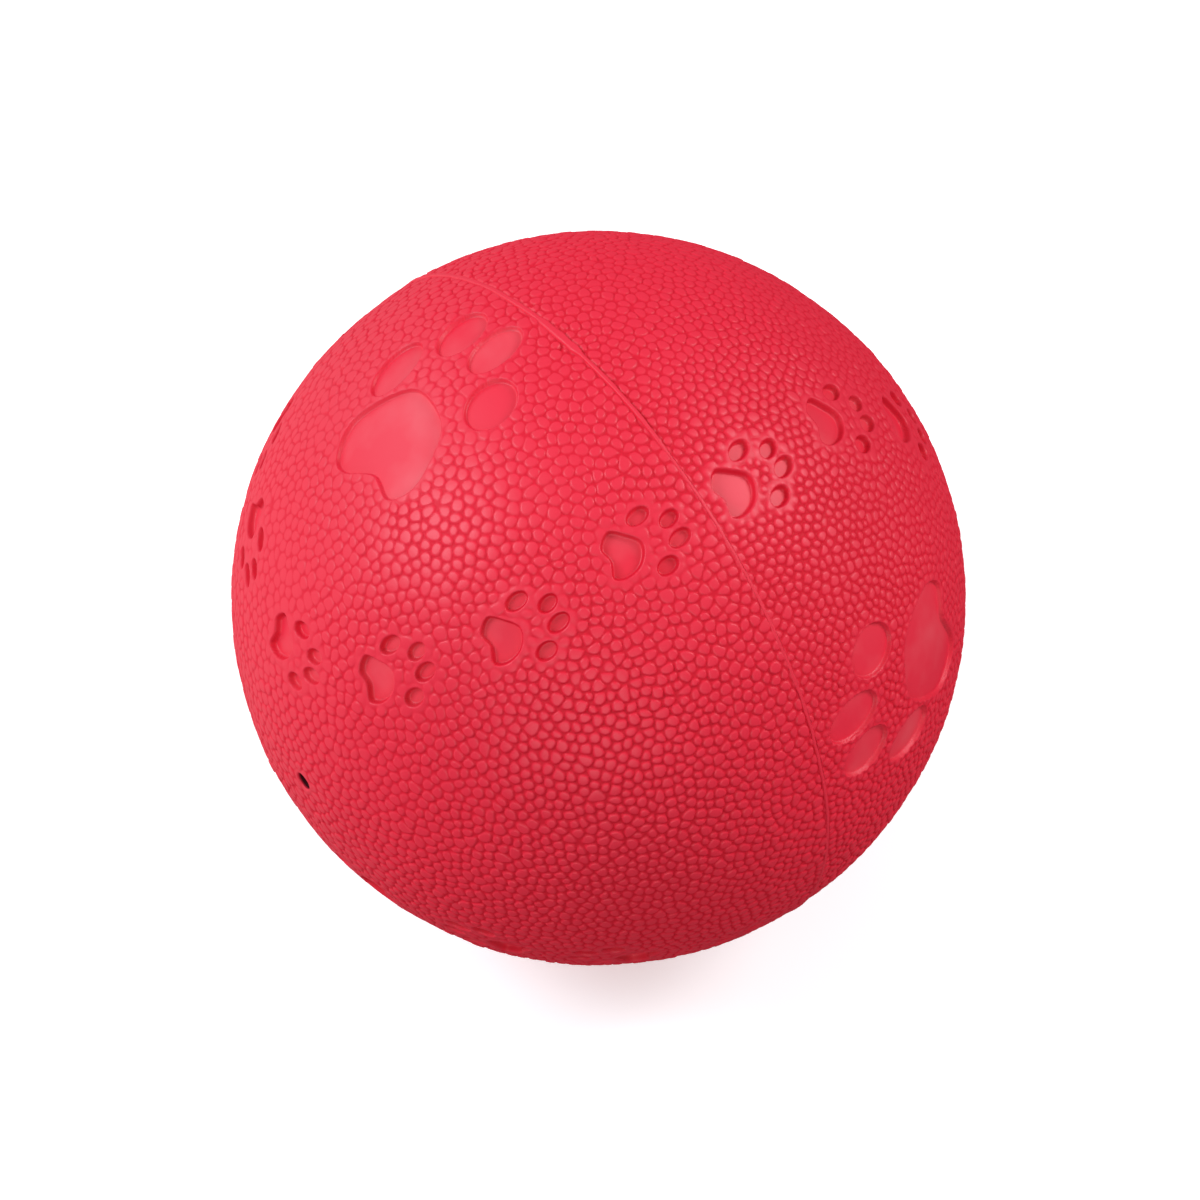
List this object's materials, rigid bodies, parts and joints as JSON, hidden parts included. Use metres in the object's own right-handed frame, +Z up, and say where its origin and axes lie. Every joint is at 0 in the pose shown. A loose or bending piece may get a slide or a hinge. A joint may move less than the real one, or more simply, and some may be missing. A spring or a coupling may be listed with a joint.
{
  "type": "rubber fetch ball",
  "caption": "Hollow red rubber ball with a pebbled skin, a cemented seam round its middle, a trail of recessed paw prints and a small vent hole.",
  "frame": {"origin": "centre of the ball, on the seam plane and the mould axis", "axes": "+X along the mould axis from the vented pole to the plain pole, so the seam lies in the YZ plane; +Z up as the ball lies, with the vent facing sideways along -X"},
  "size_m": [0.07, 0.0706, 0.0706],
  "materials": {
    "red_rubber": "matte moulded natural rubber, pebbled",
    "red_rubber_cement": "matte cured rubber cement with an untrimmed flash"
  },
  "bodies": {
    "root": {"vented_half_shell": "red_rubber", "plain_half_shell": "red_rubber", "cement_seam": "red_rubber_cement"}
  },
  "joints": []
}
